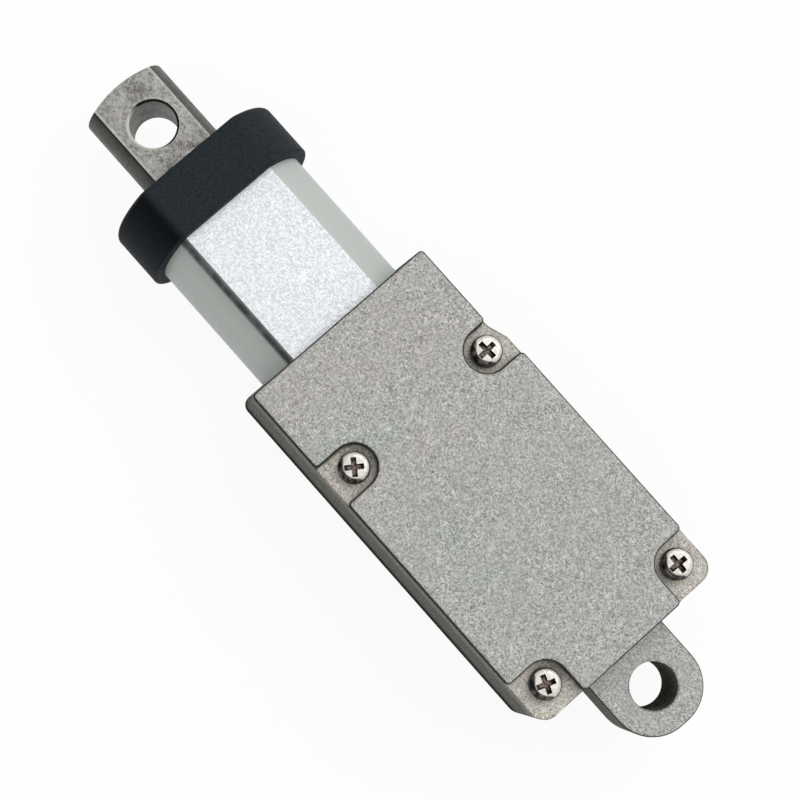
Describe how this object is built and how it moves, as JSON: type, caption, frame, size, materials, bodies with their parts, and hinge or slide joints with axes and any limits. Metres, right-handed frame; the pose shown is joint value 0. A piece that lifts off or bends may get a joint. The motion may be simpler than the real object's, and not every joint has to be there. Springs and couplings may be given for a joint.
{
  "type": "micro linear actuator",
  "caption": "Small electric linear actuator: flat die-cast gearcase with a rear eye lug, flat-sided guide tube with a dark cap, and a sliding rod with an eye.",
  "frame": {"origin": "centre of the rear eye bore, at the middle of the lug's thickness", "axes": "+X along the rod towards its eye, +Z along the eye bores, up through the cover, +Y to the narrower side of the case"},
  "size_m": [0.0707, 0.0194, 0.015],
  "materials": {
    "die_cast_zinc": "die-cast, tumbled grey, fine speckle",
    "nickel_steel": "bright nickel plated",
    "bead_blasted_aluminium": "bead-blasted, clear anodised",
    "black_anodised": "blue-black anodised",
    "turned_steel": "turned and milled steel",
    "ground_steel": "ground steel",
    "bearing_steel": "polished bearing steel",
    "cage_polymer": "natural nylon",
    "plated_plate": "zinc plated sheet steel",
    "motor_steel": "nickel plated drawn can",
    "ferrite": "sintered ferrite",
    "silicon_steel": "stacked laminations",
    "enamelled_copper": "enamelled copper wire",
    "copper": "bare copper",
    "brass_gear": "machined brass",
    "sintered_bronze": "oil-filled sintered bronze",
    "acetal": "natural acetal",
    "black_plastic": "moulded black plastic",
    "board_laminate": "green board with solder mask",
    "lead_insulation": "insulated wire",
    "seal_rubber": "moulded rubber"
  },
  "bodies": {
    "housing": {"housing_base": "die_cast_zinc", "housing_cover": "die_cast_zinc", "cover_screws": "nickel_steel", "guide_tube": "bead_blasted_aluminium", "tube_cap": "black_anodised", "rod_wiper": "seal_rubber", "front_bush": "sintered_bronze", "bearing_retainer": "plated_plate", "motor_can": "motor_steel", "motor_end_cap": "black_plastic", "motor_magnets": "ferrite", "motor_bushes": "sintered_bronze", "motor_brushes": "copper", "motor_terminals": "copper", "motor_leads": "lead_insulation", "motor_screws": "nickel_steel", "gearbox_rear_plate": "plated_plate", "gearbox_front_plate": "plated_plate", "gearbox_posts": "plated_plate", "layshaft_pin": "ground_steel", "output_bush": "sintered_bronze", "bearing_outer_race": "bearing_steel", "limit_board": "board_laminate", "limit_switches": "black_plastic", "cable_grommet": "seal_rubber"},
    "motor_rotor": {"motor_shaft": "ground_steel", "armature_core": "silicon_steel", "armature_windings": "enamelled_copper", "commutator": "copper", "motor_pinion": "brass_gear"},
    "first_cluster": {"gear_cluster_1": "brass_gear"},
    "second_cluster": {"gear_cluster_2": "brass_gear"},
    "third_cluster": {"gear_cluster_3": "brass_gear"},
    "screw_drive": {"output_gear": "brass_gear", "output_shaft": "ground_steel", "shaft_coupling": "ground_steel", "bearing_inner_race": "bearing_steel", "lead_screw": "ground_steel"},
    "ball_ring": {"bearing_balls": "bearing_steel", "bearing_cage": "cage_polymer"},
    "rod_body": {"rod": "turned_steel", "drive_nut": "brass_gear", "rod_slider": "acetal"},
    "rear_plunger_body": {"rear_plunger": "black_plastic"},
    "front_plunger_body": {"front_plunger": "black_plastic"}
  },
  "joints": [
    {"name": "rod_slide", "type": "slide", "parent": "housing", "child": "rod_body", "axis": [1, 0, 0], "range_m": [0, 0.01]},
    {"name": "motor_spin", "type": "hinge", "parent": "housing", "child": "motor_rotor", "pos_m": [0.0218, 0, 0], "axis": [-1, 0, 0], "range_deg": [-106.71, 106817.82]},
    {"name": "first_cluster_spin", "type": "hinge", "parent": "housing", "child": "first_cluster", "pos_m": [0.0218, 0.004, 0], "axis": [-1, 0, 0], "range_deg": [-45779.07, 45.73]},
    {"name": "second_cluster_spin", "type": "hinge", "parent": "housing", "child": "second_cluster", "pos_m": [0.0218, 0, 0], "axis": [-1, 0, 0], "range_deg": [-19.6, 19619.6]},
    {"name": "third_cluster_spin", "type": "hinge", "parent": "housing", "child": "third_cluster", "pos_m": [0.0218, 0.004, 0], "axis": [-1, 0, 0], "range_deg": [-8408.4, 8.4]},
    {"name": "screw_spin", "type": "hinge", "parent": "housing", "child": "screw_drive", "pos_m": [0.0218, 0, 0], "axis": [-1, 0, 0], "range_deg": [-3.6, 3603.6]},
    {"name": "ball_orbit", "type": "hinge", "parent": "housing", "child": "ball_ring", "pos_m": [0.0218, 0, 0], "axis": [-1, 0, 0], "range_deg": [-1.44, 1445.4]},
    {"name": "rear_switch_press", "type": "slide", "parent": "housing", "child": "rear_plunger_body", "axis": [0, -1, 0], "range_m": [0, 0.00015]},
    {"name": "front_switch_press", "type": "slide", "parent": "housing", "child": "front_plunger_body", "axis": [0, -1, 0], "range_m": [0, 0.00015]}
  ],
  "couplings": [
    {"joint": "motor_spin", "follows": "rod_slide", "rad_per_m": 186250},
    {"joint": "first_cluster_spin", "follows": "rod_slide", "rad_per_m": -79820},
    {"joint": "second_cluster_spin", "follows": "rod_slide", "rad_per_m": 34208},
    {"joint": "third_cluster_spin", "follows": "rod_slide", "rad_per_m": -14661},
    {"joint": "screw_spin", "follows": "rod_slide", "rad_per_m": 6283.2},
    {"joint": "ball_orbit", "follows": "rod_slide", "rad_per_m": 2520.2}
  ]
}
